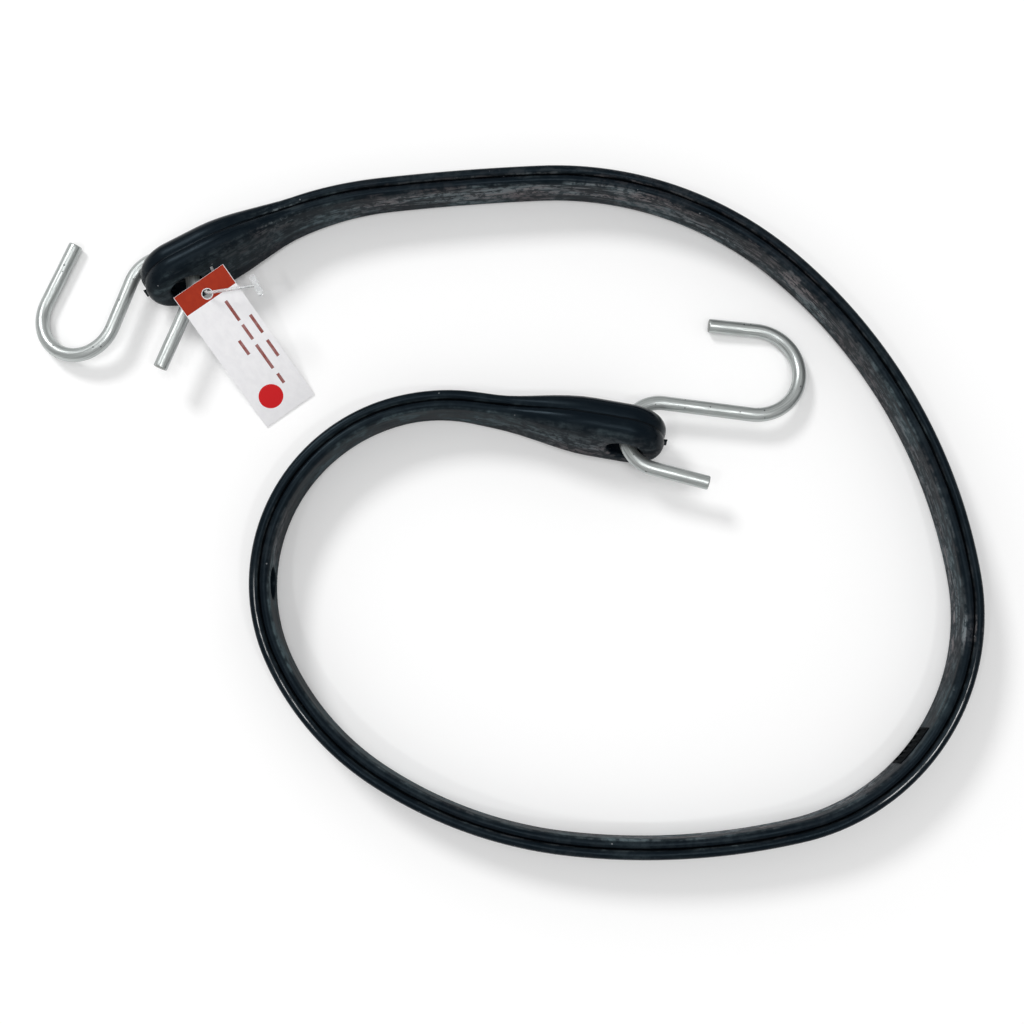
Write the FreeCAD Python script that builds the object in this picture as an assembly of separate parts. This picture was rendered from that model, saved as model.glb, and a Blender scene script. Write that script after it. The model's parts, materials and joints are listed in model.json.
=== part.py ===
import FreeCAD, Part
import math
import os

V = FreeCAD.Vector
UP = V(0, 0, 1)

# Strap section in millimetres. The strap stands on its edge, so its width is upright.
strap_thickness = 6.2
strap_width = 19.0
lobe_radius = 1.6
groove_depth = 1.1

# Eye at each end: thicker and wider, with a fine parting line in place of the groove.
eye_thickness = 12.4
eye_width = 24.0
eye_lobe_radius = 4.2
parting_depth = 0.35
hook_hole_radius = 5.35
hole_rim_radius = 1.2
eye_root = 23.0
taper_length = 30.0
eye_lean = 12.0
lean_length = 60.0
blend_sections = 11

# Flash left by the mould at the tip of each eye, on the parting line.
flash_thickness = 0.8
flash_height = 3.2
flash_reach = 0.8
flash_root = 1.6
flash_drop = 2.0

# Route of the strap as it lies, from the tip of the left eye, clockwise as seen from above.
start_x = -114.0
start_y = 68.5
start_heading = 27.8
left_straight = 42.0
left_bend_radius = 104.0
left_bend_sweep = 21.5
top_radius = 700.0
top_sweep = 4.0
upper_right_radius = 109.0
upper_right_sweep = 44.0
right_side_radius = 161.0
right_side_sweep = 40.0
lower_right_radius = 68.0
lower_right_sweep = 85.5
base_radius = 209.0
base_sweep = 19.0
lower_left_radius = 132.0
lower_left_sweep = 26.5
left_side_radius = 85.0
left_side_sweep = 31.5
inner_bend_radius = 55.0
inner_bend_sweep = 126.0
right_straight = 59.7

# Adjusting hole through the strap, measured from the tip of the right eye.
adjusting_hole_radius = 5.35
adjusting_hole_from_tip = 156.0

# Ribbed pad moulded on the inner face, measured from the tip of the left eye.
pad_from_tip = 383.0
pad_length = 14.5
pad_height = 11.0
pad_rise = 0.4
pad_rib_width = 0.9
pad_ribs = 7

# Wire S-hooks: a small bend through the eye and a large open bend. The seat gap is how far the small
# bend sits past the axis of the hole; yaw and seat turn are how far the hook and its bend stand round
# from the eye, and the slide is how far the hook has moved along the hole.
wire_radius = 2.2
cut_edge_radius = 0.4
small_bend_radius = 11.0
right_spread = 7.8
right_small_leg = 17.7
right_shared_leg = 27.3
right_big_radius = 14.3
right_big_sweep = 181.5
right_open_leg = 15.1
right_yaw = 3.6
right_seat_gap = 0.6
right_seat_turn = 0.0
right_slide = 0.5
left_spread = -2.0
left_small_leg = 22.9
left_shared_leg = 15.7
left_big_radius = 12.7
left_big_sweep = 183.9
left_open_leg = 20.8
left_yaw = 40.8
left_seat_gap = 2.5
left_seat_turn = 25.9
left_slide = 0.2

# Card hang tag, set out from the tip of the left eye: its punched hole, then its slope to the floor.
tag_width = 18.2
tag_length = 50.0
card_thickness = 0.4
punch_radius = 1.55
punch_setback = 4.7
tag_along = 16.9
tag_off = 13.4
tag_hole_height = 22.5
tag_turn = 82.4

# Clear plastic fastener that pierces the left eye and carries the tag.
filament_radius = 0.45
pierce_clearance = 0.05
pierce_from_tip = 21.5
pierce_above_centre = 4.5
anchor_bar_length = 9.0
anchor_bar_radius = 0.6
filament_straight = 3.0
filament_lift = 2.4
filament_bearing = 0.3
filament_bend_share = 0.45
paddle_length = 7.0
paddle_width = 1.8
paddle_thickness = 0.9
paddle_along = 31.4
paddle_off = 18.3
paddle_height = 23.0
paddle_turn = 90.0

# Overrun of each cutter past the face it cuts, and the shortest stretch worth building.
cut_overrun = 2.0
shortest_stretch = 0.001


def arc_length(radius, sweep):
    return radius * math.radians(sweep)


# Each stretch of the route is its length and its radius; a straight stretch has no radius.
ROUTE = [
    (left_straight, None),
    (arc_length(left_bend_radius, left_bend_sweep), left_bend_radius),
    (arc_length(top_radius, top_sweep), top_radius),
    (arc_length(upper_right_radius, upper_right_sweep), upper_right_radius),
    (arc_length(right_side_radius, right_side_sweep), right_side_radius),
    (arc_length(lower_right_radius, lower_right_sweep), lower_right_radius),
    (arc_length(base_radius, base_sweep), base_radius),
    (arc_length(lower_left_radius, lower_left_sweep), lower_left_radius),
    (arc_length(left_side_radius, left_side_sweep), left_side_radius),
    (arc_length(inner_bend_radius, inner_bend_sweep), inner_bend_radius),
    (right_straight, None),
]
STRAP_LENGTH = sum(length for length, radius in ROUTE)

# A section is its half thickness, half width, lobe radius and groove depth.
BODY = (strap_thickness / 2, strap_width / 2, lobe_radius, groove_depth)
EYE = (eye_thickness / 2, eye_width / 2, eye_lobe_radius, parting_depth)


def forward_of(heading):
    return V(math.cos(heading), math.sin(heading), 0)


def left_of(heading):
    return V(-math.sin(heading), math.cos(heading), 0)


def walk(point, heading, length, radius):
    """Point and heading at the end of a stretch that is straight or turns clockwise."""
    if radius is None:
        return point + forward_of(heading) * length, heading
    centre = point - left_of(heading) * radius
    heading -= length / radius
    return centre + left_of(heading) * radius, heading


def frame_at(distance):
    """Point on the floor under the strap and its heading, at a distance from the left tip."""
    point = V(start_x, start_y, 0)
    heading = math.radians(start_heading)
    for length, radius in ROUTE:
        if distance <= length:
            return walk(point, heading, distance, radius)
        point, heading = walk(point, heading, length, radius)
        distance -= length
    return point, heading


def fade(share):
    """Falls smoothly from 1 to 0 as the share goes from 0 to 1."""
    share = min(max(share, 0.0), 1.0)
    return 1 - share * share * (3 - 2 * share)


def section_at(reach):
    """Section and lean in radians, at a distance from the nearer tip."""
    eye = fade((reach - eye_root) / taper_length)
    section = [body + (end - body) * eye for body, end in zip(BODY, EYE)]
    return section, math.radians(eye_lean) * fade((reach - eye_root) / lean_length)


def standing_height(section, lean):
    """Height of the section's centre when its lowest lobe rests on the floor."""
    half_thickness, half_width, lobe, groove = section
    return (half_width - lobe) * math.cos(lean) + (half_thickness - lobe) * math.sin(lean) + lobe


def place(frame, section, lean, across, upright):
    """Point of a leaning section: across its thickness, outward, and upright along its width."""
    point, heading = frame
    outward = across * math.cos(lean) + upright * math.sin(lean)
    height = standing_height(section, lean) + upright * math.cos(lean) - across * math.sin(lean)
    return point + left_of(heading) * outward + UP * height


def lobe_points(section):
    """Five points of one rounded lobe, two arcs from the flat face round to the groove."""
    half_thickness, half_width, lobe, groove = section
    crest = half_thickness - lobe
    diagonal = lobe * math.sqrt(0.5)
    flank = (crest * crest + groove * groove) / (2 * groove)
    half = math.asin(crest / flank) / 2
    return [
        (half_thickness, half_width - lobe),
        (crest + diagonal, half_width - lobe + diagonal),
        (crest, half_width),
        (crest - flank * math.sin(half), half_width - flank * (1 - math.cos(half))),
        (0, half_width - groove),
    ]


def lobe_edges(section, lean, frame, side, end):
    """The two arcs of the lobe on one side and end, in order round the section."""
    points = [place(frame, section, lean, side * u, end * v) for u, v in lobe_points(section)]
    if side * end < 0:
        points.reverse()
    return [Part.Arc(*points[:3]).toShape(), Part.Arc(*points[2:]).toShape()]


def section_wire(section, lean, frame):
    """Closed outline: four lobes joined by the two flat faces."""
    first = lobe_edges(section, lean, frame, 1, 1) + lobe_edges(section, lean, frame, -1, 1)
    second = lobe_edges(section, lean, frame, -1, -1) + lobe_edges(section, lean, frame, 1, -1)
    edge = section[1] - section[2]
    faces = []
    for side in (-1, 1):
        top = place(frame, section, lean, side * section[0], edge)
        bottom = place(frame, section, lean, side * section[0], -edge)
        faces.append(Part.makeLine(top, bottom))
    return Part.Wire(Part.__sortEdges__(first + [faces[0]] + second + [faces[1]]))


def one_solid(solids):
    """The single solid that touching solids make together."""
    return solids[0].multiFuse(solids[1:]).removeSplitter().Solids[0]


def carry(profile, start, finish):
    """Solids of one profile carried along the route between two distances."""
    solids = []
    begin = 0.0
    for length, radius in ROUTE:
        low = max(start, begin)
        high = min(finish, begin + length)
        begin += length
        if high - low < shortest_stretch:
            continue
        point, heading = frame_at(low)
        face = Part.Face(profile((point, heading)))
        if radius is None:
            solids.append(face.extrude(forward_of(heading) * (high - low)))
        else:
            centre = point - left_of(heading) * radius
            solids.append(face.revolve(centre, UP, -math.degrees((high - low) / radius)))
    return solids


def end_frame(end, reach):
    """Frame at a distance from the left (-1) or the right (1) tip."""
    return frame_at(reach if end < 0 else STRAP_LENGTH - reach)


def eye_axes(end):
    """Centre of the eye's hole, with its axis, upright and outward directions."""
    frame = end_frame(end, eye_width / 2)
    lean = math.radians(eye_lean)
    centre = place(frame, EYE, lean, 0, 0)
    axis = place(frame, EYE, lean, 1, 0) - centre
    upright = place(frame, EYE, lean, 0, 1) - centre
    return centre, axis, upright, forward_of(frame[1]) * end


def eye_tip(end):
    """Rounded end of the eye: half of its section turned about the axis of its hole."""
    centre, axis, upright, outward = eye_axes(end)
    frame = end_frame(end, eye_width / 2)
    lean = math.radians(eye_lean)
    arcs = lobe_edges(EYE, lean, frame, 1, 1) + lobe_edges(EYE, lean, frame, -1, 1)
    outer = place(frame, EYE, lean, EYE[0], 0)
    inner = place(frame, EYE, lean, -EYE[0], 0)
    outer_shoulder = place(frame, EYE, lean, EYE[0], EYE[1] - EYE[2])
    inner_shoulder = place(frame, EYE, lean, -EYE[0], EYE[1] - EYE[2])
    lines = [
        Part.makeLine(inner, outer),
        Part.makeLine(outer, outer_shoulder),
        Part.makeLine(inner_shoulder, inner),
    ]
    face = Part.Face(Part.Wire(Part.__sortEdges__(arcs + lines)))
    return face.revolve(centre, upright.cross(outward), 180)


def eye_block(end):
    """Straight part of the eye, from the axis of its hole to the root of its taper."""
    frame = end_frame(end, eye_width / 2)
    face = Part.Face(section_wire(EYE, math.radians(eye_lean), frame))
    return face.extrude(forward_of(frame[1]) * -end * (eye_root - eye_width / 2))


def eye_blend(end):
    """Taper from the eye down to the body, which also takes out the lean."""
    wires = []
    for step in range(blend_sections):
        reach = eye_root + max(taper_length, lean_length) * step / (blend_sections - 1)
        section, lean = section_at(reach)
        wires.append(section_wire(section, lean, end_frame(end, reach)))
    return Part.makeLoft(wires, True, False)


def eye_flash(end):
    """Small tab of flash on the parting line at the tip."""
    centre, axis, upright, outward = eye_axes(end)
    corner = centre - axis * (flash_thickness / 2) - upright * (flash_drop + flash_height / 2)
    corner = corner + outward * (eye_width / 2 - flash_root)
    points = [corner, corner + axis * flash_thickness]
    points += [points[1] + upright * flash_height, corner + upright * flash_height, corner]
    return Part.Face(Part.makePolygon(points)).extrude(outward * (flash_root + flash_reach))


def hole(frame, section, lean, upright, radius):
    """Cylinder square through the strap at a frame, past both faces of the section."""
    middle = place(frame, section, lean, 0, upright)
    axis = place(frame, section, lean, 1, upright) - middle
    reach = section[0] + cut_overrun
    return Part.makeCylinder(radius, reach * 2, middle - axis * reach, axis)


def round_rims(shape, end):
    """Rounds both rims of the hole through an eye."""
    centre = eye_axes(end)[0]
    rims = []
    for edge in shape.Edges:
        curve = edge.Curve
        if isinstance(curve, Part.Circle) and abs(curve.Radius - hook_hole_radius) < shortest_stretch:
            if abs(curve.Center.distanceToPoint(centre) - eye_thickness / 2) < shortest_stretch:
                rims.append(edge)
    return shape.makeFillet(hole_rim_radius, rims)


def pad_profile(low, high):
    """Outline of a raised bar on the inner face, between two heights from its middle."""
    def profile(frame):
        corners = []
        for across, upright in ((pad_rise, low), (pad_rise, high), (-pad_rise, high), (-pad_rise, low)):
            corners.append(place(frame, BODY, 0, -BODY[0] - across, upright))
        return Part.makePolygon(corners + corners[:1])
    return profile


def ribbed_pad():
    """Frame and cross ribs of the moulded pad."""
    first = pad_from_tip - pad_length / 2
    half = pad_height / 2
    solids = carry(pad_profile(-half, pad_rib_width - half), first, first + pad_length)
    solids += carry(pad_profile(half - pad_rib_width, half), first, first + pad_length)
    pitch = (pad_length - pad_rib_width) / (pad_ribs - 1)
    for rib in range(pad_ribs):
        begin = first + pitch * rib
        solids += carry(pad_profile(-half, half), begin, begin + pad_rib_width)
    return solids


def strap():
    """The whole rubber moulding."""
    blend_end = eye_root + max(taper_length, lean_length)
    solids = carry(lambda frame: section_wire(BODY, 0, frame), blend_end, STRAP_LENGTH - blend_end)
    for end in (-1, 1):
        solids += [eye_tip(end), eye_block(end), eye_blend(end), eye_flash(end)]
    solids += ribbed_pad()
    shape = one_solid(solids)
    lean = math.radians(eye_lean)
    for end in (-1, 1):
        shape = shape.cut(hole(end_frame(end, eye_width / 2), EYE, lean, 0, hook_hole_radius))
        shape = round_rims(shape, end)
    shape = shape.cut(hole(end_frame(1, adjusting_hole_from_tip), BODY, 0, 0, adjusting_hole_radius))
    pierce = hole(end_frame(-1, pierce_from_tip), EYE, lean, pierce_above_centre,
                  filament_radius + pierce_clearance)
    return shape.cut(pierce).Solids[0]


def rod(point, heading, side, radius, stretches):
    """Round wire in the XY plane; each stretch is a length, or a bend to one side."""
    solids = []
    for kind, size, turn in stretches:
        disc = Part.Face(Part.Wire(Part.makeCircle(radius, point, forward_of(heading))))
        if kind == "leg":
            solids.append(disc.extrude(forward_of(heading) * size))
            point = point + forward_of(heading) * size
        else:
            centre = point + left_of(heading) * (side * size)
            solids.append(disc.revolve(centre, UP, side * turn))
            heading += math.radians(side * turn)
            point = centre - left_of(heading) * (side * size)
    return solids


def droop_to_floor(far, radius, height, fall, slope):
    """Angle in degrees, about the axis of the hole, that rests a hook's far bend on the floor."""
    drop = height - wire_radius + slope * far.y
    span = far.x * far.x - radius * radius
    level = drop * drop - radius * radius * slope * slope
    sine = (drop * far.x - math.sqrt(drop * drop * far.x * far.x - span * level)) / span
    return math.degrees(math.asin(sine / fall))


def s_hook(end, side, sizes):
    """Wire S-hook in the eye, square to its hole and tipped until its far bend rests on the floor."""
    spread, small_leg, shared_leg, big_radius, big_sweep, open_leg, yaw, seat_gap, seat_turn, slide = sizes
    centre, axis, upright, outward = eye_axes(end)
    pivot = centre + axis * slide
    seat = small_bend_radius - seat_gap
    bend = V(seat * math.cos(math.radians(seat_turn)), side * seat * math.sin(math.radians(seat_turn)), 0)
    shoulder = bend + V(0, side * small_bend_radius, 0)
    small = [("bend", small_bend_radius, 180 - spread), ("leg", small_leg, 0)]
    large = [("leg", shared_leg, 0), ("bend", big_radius, big_sweep), ("leg", open_leg, 0)]
    solids = rod(shoulder, math.pi, side, wire_radius, small) + rod(shoulder, 0, side, wire_radius, large)
    wire = one_solid(solids)
    rims = [edge for face in wire.Faces if isinstance(face.Surface, Part.Plane) for edge in face.Edges]
    wire = wire.makeFillet(cut_edge_radius, rims).Solids[0]
    far = FreeCAD.Rotation(UP, yaw).multVec(shoulder + V(shared_leg, side * big_radius, 0))
    droop = droop_to_floor(far, big_radius, pivot.z, upright.z, end * axis.z)
    wire.rotate(V(0, 0, 0), UP, yaw)
    wire.rotate(V(0, 0, 0), V(0, 1, 0), droop)
    wire.Placement = FreeCAD.Placement(pivot, FreeCAD.Rotation(outward, axis * end, upright, "ZXY")) * wire.Placement
    return wire


def tag_pivot():
    """Where the filament passes the card, bearing on the uphill side of the punched hole."""
    centre, downhill, sideways, normal = tag_axes()
    return centre - downhill * (punch_radius - filament_radius - filament_bearing), normal


def tag_axes():
    """Centre of the punched hole, with the tag's downhill, sideways and normal directions."""
    point, heading = end_frame(-1, tag_along)
    centre = point - left_of(heading) * tag_off + UP * tag_hole_height
    slope = math.asin((tag_hole_height - card_thickness / 2) / (tag_length - punch_setback))
    level = heading - math.radians(tag_turn)
    downhill = forward_of(level) * math.cos(slope) - UP * math.sin(slope)
    sideways = left_of(level)
    return centre, downhill, sideways, downhill.cross(sideways)


def hang_tag():
    """Flat card with its punched hole near the upper end."""
    centre, downhill, sideways, normal = tag_axes()
    corner = centre - downhill * punch_setback - sideways * (tag_width / 2) - normal * (card_thickness / 2)
    points = [corner, corner + downhill * tag_length]
    points += [points[1] + sideways * tag_width, corner + sideways * tag_width, corner]
    card = Part.Face(Part.makePolygon(points)).extrude(normal * card_thickness)
    reach = card_thickness / 2 + cut_overrun
    punch = Part.makeCylinder(punch_radius, reach * 2, centre - normal * reach, normal)
    return card.cut(punch).Solids[0]


def filament(points):
    """Thin round rod along a run of points, each corner a tangent arc."""
    solids = []
    start = points[0]
    for here, corner, there in zip(points, points[1:], points[2:]):
        into = (corner - here).normalize()
        out = (there - corner).normalize()
        turn = into.getAngle(out)
        run = filament_bend_share * min(corner.distanceToPoint(here), corner.distanceToPoint(there))
        first = corner - into * run
        solids.append(Part.makeCylinder(filament_radius, start.distanceToPoint(first), start, into))
        axis = into.cross(out).normalize()
        centre = first + axis.cross(into) * (run / math.tan(turn / 2))
        disc = Part.Face(Part.Wire(Part.makeCircle(filament_radius, first, into)))
        solids.append(disc.revolve(centre, axis, math.degrees(turn)))
        start = corner + out * run
    last = points[-1] - start
    solids.append(Part.makeCylinder(filament_radius, last.Length, start, last))
    return solids


def paddle(centre, heading):
    """Flat round-ended bar at the loose end of the fastener."""
    half = (paddle_length - paddle_width) / 2
    solids = []
    for end in (-1, 1):
        middle = centre + forward_of(heading) * (half * end) - UP * (paddle_thickness / 2)
        solids.append(Part.makeCylinder(paddle_width / 2, paddle_thickness, middle))
    side = left_of(heading) * (paddle_width / 2)
    low = centre - forward_of(heading) * half - UP * (paddle_thickness / 2)
    points = [low - side, low + side]
    along = forward_of(heading) * (half * 2)
    points += [points[1] + along, points[0] + along, points[0]]
    solids.append(Part.Face(Part.makePolygon(points)).extrude(UP * paddle_thickness))
    return solids


def tag_fastener():
    """Anchor bar flat behind the eye, filament through the eye and the tag, and the loose paddle."""
    lean = math.radians(eye_lean)
    frame = end_frame(-1, pierce_from_tip)
    outer = place(frame, EYE, lean, EYE[0] + anchor_bar_radius, pierce_above_centre)
    inner = place(frame, EYE, lean, -EYE[0] - filament_straight, pierce_above_centre)
    along = forward_of(frame[1])
    bar = Part.makeCylinder(anchor_bar_radius, anchor_bar_length, outer - along * (anchor_bar_length / 2), along)
    pivot, normal = tag_pivot()
    point, heading = end_frame(-1, paddle_along)
    loose = point - left_of(heading) * paddle_off + UP * paddle_height
    route = [outer, inner, pivot - normal * filament_lift, pivot + normal * filament_lift, loose]
    solids = [bar] + filament(route) + paddle(loose, heading - math.radians(paddle_turn))
    return one_solid(solids)


def build():
    """All pieces, moved so that the origin is under the middle of the whole."""
    right = (right_spread, right_small_leg, right_shared_leg, right_big_radius,
             right_big_sweep, right_open_leg, right_yaw, right_seat_gap, right_seat_turn, right_slide)
    left = (left_spread, left_small_leg, left_shared_leg, left_big_radius,
            left_big_sweep, left_open_leg, left_yaw, left_seat_gap, left_seat_turn, left_slide)
    pieces = {
        "strap": strap(),
        "s_hook_left": s_hook(-1, -1, left),
        "s_hook_right": s_hook(1, 1, right),
        "hang_tag": hang_tag(),
        "tag_fastener": tag_fastener(),
    }
    box = Part.makeCompound(list(pieces.values())).optimalBoundingBox(False)
    origin = V((box.XMin + box.XMax) / 2, (box.YMin + box.YMax) / 2, 0)
    for piece in pieces.values():
        piece.translate(origin * -1)
    return pieces, origin


def main():
    os.makedirs("parts", exist_ok=True)
    pieces, origin = build()
    for name, piece in pieces.items():
        piece.exportStep("parts/" + name + ".step")


main()
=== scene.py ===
import bpy
import bmesh
import json
import math
from mathutils import Matrix, Vector


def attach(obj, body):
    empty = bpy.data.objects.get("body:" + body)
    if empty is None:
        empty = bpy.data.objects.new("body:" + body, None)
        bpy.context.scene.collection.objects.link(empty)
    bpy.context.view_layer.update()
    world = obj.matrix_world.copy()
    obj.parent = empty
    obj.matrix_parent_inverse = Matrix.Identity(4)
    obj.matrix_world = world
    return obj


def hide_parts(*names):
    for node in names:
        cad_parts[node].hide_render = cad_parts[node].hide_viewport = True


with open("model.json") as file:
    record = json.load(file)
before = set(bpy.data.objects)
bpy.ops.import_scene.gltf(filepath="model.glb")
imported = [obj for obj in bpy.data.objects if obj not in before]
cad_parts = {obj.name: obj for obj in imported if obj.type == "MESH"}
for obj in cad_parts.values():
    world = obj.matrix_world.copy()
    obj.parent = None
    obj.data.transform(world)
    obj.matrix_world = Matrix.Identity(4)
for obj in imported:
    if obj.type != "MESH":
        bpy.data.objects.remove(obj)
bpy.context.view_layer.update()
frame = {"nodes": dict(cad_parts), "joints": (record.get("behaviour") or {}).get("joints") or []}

# Strap: one moulding of black rubber. It is modelled straight, with its length along X, the outer
# face towards +Y and its width upright, and is then laid on edge along the bent route.

MM = 0.001
STRAP_THICKNESS = 6.2 * MM
STRAP_WIDTH = 19.0 * MM
LOBE_RADIUS = 1.6 * MM
GROOVE_DEPTH = 1.1 * MM
EYE_THICKNESS = 12.4 * MM
EYE_WIDTH = 24.0 * MM
EYE_LOBE_RADIUS = 4.2 * MM
PARTING_DEPTH = 0.35 * MM
EYE_ROOT = 23.0 * MM
TAPER_LENGTH = 30.0 * MM
EYE_LEAN = math.radians(12.0)
LEAN_LENGTH = 60.0 * MM
HOLE_RADIUS = 5.35 * MM
HOLE_RIM = 1.2 * MM
ADJUSTING_HOLE_FROM_TIP = 156.0 * MM
ADJUSTING_RIM = 0.5 * MM
PIERCE_FROM_TIP = 21.5 * MM
PIERCE_HEIGHT = 4.5 * MM
PIERCE_RADIUS = 0.5 * MM
PIERCE_RIM = PIERCE_RADIUS / 4
FACE_STEPS = 5
LOBE_STEPS = 6
GROOVE_STEPS = 5
TAPER_STEPS = 8
TIP_STEPS = 26
BODY_CUTS = 290
RING_SPACING = 2.2 * MM
WELD = 0.02 * MM
TOUCHING = 0.001 * MM
HOLE_SIDES = 48
RIM_STEPS = 5
CUTTER_OVERSHOOT = 3.0 * MM
SMOOTH_BELOW = 40
# Where the route starts, its heading, and its stretches from the left tip to the right one: radius in
# mm and turn in degrees to the right, or None and the length in mm of a straight stretch.
ROUTE_START = Vector((-109.4147, 68.2370, 0)) * MM
ROUTE_HEADING = math.radians(27.8)
ROUTE = [(None, 42.0), (104.0, 21.5), (700.0, 4.0), (109.0, 44.0), (161.0, 40.0), (68.0, 85.5),
         (209.0, 19.0), (132.0, 26.5), (85.0, 31.5), (55.0, 126.0), (None, 59.7)]


def deselect_all():
    if bpy.context.object and bpy.context.object.mode == "EDIT":
        bpy.ops.object.mode_set(mode="OBJECT")
    bpy.ops.object.select_all(action="DESELECT")


def make_active(obj):
    deselect_all()
    obj.select_set(True)
    bpy.context.view_layer.objects.active = obj


def pick(obj, test):
    """In edit mode, selects just the vertices that the test accepts, with the edges between them."""
    bpy.ops.mesh.select_all(action="DESELECT")
    mesh = bmesh.from_edit_mesh(obj.data)
    for vert in mesh.verts:
        vert.select = test(vert.co)
    mesh.select_flush_mode()
    mesh.select_flush(True)
    bmesh.update_edit_mesh(obj.data)


def apply_modifiers(obj):
    bpy.context.view_layer.objects.active = obj
    for modifier in list(obj.modifiers):
        bpy.ops.object.modifier_apply(modifier=modifier.name)


def cut_away(obj, cutter, solver):
    """Cuts one piece out of another and removes the cutter."""
    cut = obj.modifiers.new("cut", "BOOLEAN")
    cut.operation = "DIFFERENCE"
    cut.solver = solver
    cut.object = cutter
    apply_modifiers(obj)
    bpy.data.objects.remove(cutter)


def fade(share):
    """Smooth fall from 1 to 0 as the share goes from 0 to 1."""
    share = min(max(share, 0.0), 1.0)
    return 1 - share * share * (3 - 2 * share)


def section_at(reach):
    """Thickness, width, lobe radius, groove depth and lean at a distance from the nearer tip."""
    eye = fade((reach - EYE_ROOT) / TAPER_LENGTH)
    body = (STRAP_THICKNESS, STRAP_WIDTH, LOBE_RADIUS, GROOVE_DEPTH)
    end = (EYE_THICKNESS, EYE_WIDTH, EYE_LOBE_RADIUS, PARTING_DEPTH)
    sizes = [a + (b - a) * eye for a, b in zip(body, end)]
    return sizes + [EYE_LEAN * fade((reach - EYE_ROOT) / LEAN_LENGTH)]


def standing_height(reach):
    """Height of the strap's middle above the floor, where its leaning section rests on one lobe."""
    thickness, width, lobe, groove, lean = section_at(reach)
    return (width / 2 - lobe) * math.cos(lean) + (thickness / 2 - lobe) * math.sin(lean) + lobe


def outline(thickness, width, lobe, groove):
    """Points round one section: four flat half faces, each going over a lobe into the groove."""
    crest = thickness / 2 - lobe
    flank = (crest * crest + groove * groove) / (2 * groove)
    quarter = [(thickness / 2, (width / 2 - lobe) * step / FACE_STEPS) for step in range(FACE_STEPS + 1)]
    for step in range(1, LOBE_STEPS + 1):
        turn = math.pi / 2 * step / LOBE_STEPS
        quarter.append((crest + lobe * math.cos(turn), width / 2 - lobe + lobe * math.sin(turn)))
    sweep = math.asin(crest / flank)
    for step in range(1, GROOVE_STEPS + 1):
        turn = sweep * step / GROOVE_STEPS
        quarter.append((crest - flank * math.sin(turn), width / 2 - flank * (1 - math.cos(turn))))
    half = quarter + [(-y, z) for y, z in reversed(quarter[:-1])]
    return half + [(y, -z) for y, z in reversed(half[1:-1])]


def shape_ring(obj, x, reach):
    """Moves the selected ring to its place and to the outline at a distance from the nearer tip."""
    mesh = bmesh.from_edit_mesh(obj.data)
    ring = [vert for vert in mesh.verts if vert.select]
    for vert, (y, z) in zip(ring, outline(*section_at(reach)[:4])):
        vert.co = (x, y, z)
    bmesh.update_edit_mesh(obj.data)


def add_ring(obj, x, reach):
    """Adds a circle in edit mode and shapes it to the strap's outline."""
    bpy.ops.mesh.select_all(action="DESELECT")
    bpy.ops.mesh.primitive_circle_add(vertices=RING_POINTS, radius=EYE_WIDTH)
    shape_ring(obj, x, reach)


def bridge(obj, low, high, cuts):
    """Skins the two rings at these distances, with cuts between them."""
    pick(obj, lambda co: min(abs(co.x - low), abs(co.x - high)) < TOUCHING)
    bpy.ops.mesh.bridge_edge_loops(number_cuts=cuts, interpolation="LINEAR")


def travel(point, heading, stretch, length):
    """Point and heading after a length of one stretch, straight or turning clockwise."""
    radius = stretch[0]
    if radius is None:
        return point + Vector((math.cos(heading), math.sin(heading), 0)) * length, heading
    centre = point + Vector((math.sin(heading), -math.cos(heading), 0)) * (radius * MM)
    heading -= length / (radius * MM)
    return centre - Vector((math.sin(heading), -math.cos(heading), 0)) * (radius * MM), heading


def stretch_length(stretch):
    """Length in metres of one stretch of the route."""
    radius, size = stretch
    return size * MM if radius is None else radius * MM * math.radians(size)


def lay_along(obj, points, tilts):
    """Bends a straight piece along a line of points with a curve modifier, and applies it."""
    data = bpy.data.curves.new(obj.name + "_line", "CURVE")
    data.dimensions = "3D"
    data.twist_mode = "Z_UP"
    spline = data.splines.new("POLY")
    spline.points.add(len(points) - 1)
    for place, point, tilt in zip(spline.points, points, tilts):
        place.co = (*point, 1)
        place.tilt = tilt
    line = bpy.data.objects.new(obj.name + "_line", data)
    bpy.context.scene.collection.objects.link(line)
    bend = obj.modifiers.new("bend", "CURVE")
    bend.object = line
    bend.deform_axis = "POS_X"
    apply_modifiers(obj)
    bpy.data.objects.remove(line)


def remember_straight(obj):
    """Keeps each point's place and direction on the straight piece, for the pattern of its material."""
    store = obj.data.attributes.new("straight", "FLOAT_VECTOR", "POINT")
    side = obj.data.attributes.new("facing", "FLOAT_VECTOR", "POINT")
    for vert in obj.data.vertices:
        store.data[vert.index].vector = vert.co
        side.data[vert.index].vector = vert.normal


def finish_mesh(obj, angle):
    """Shades smoothly over edges blunter than this angle in degrees."""
    make_active(obj)
    bpy.ops.object.shade_smooth_by_angle(angle=math.radians(angle))


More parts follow.
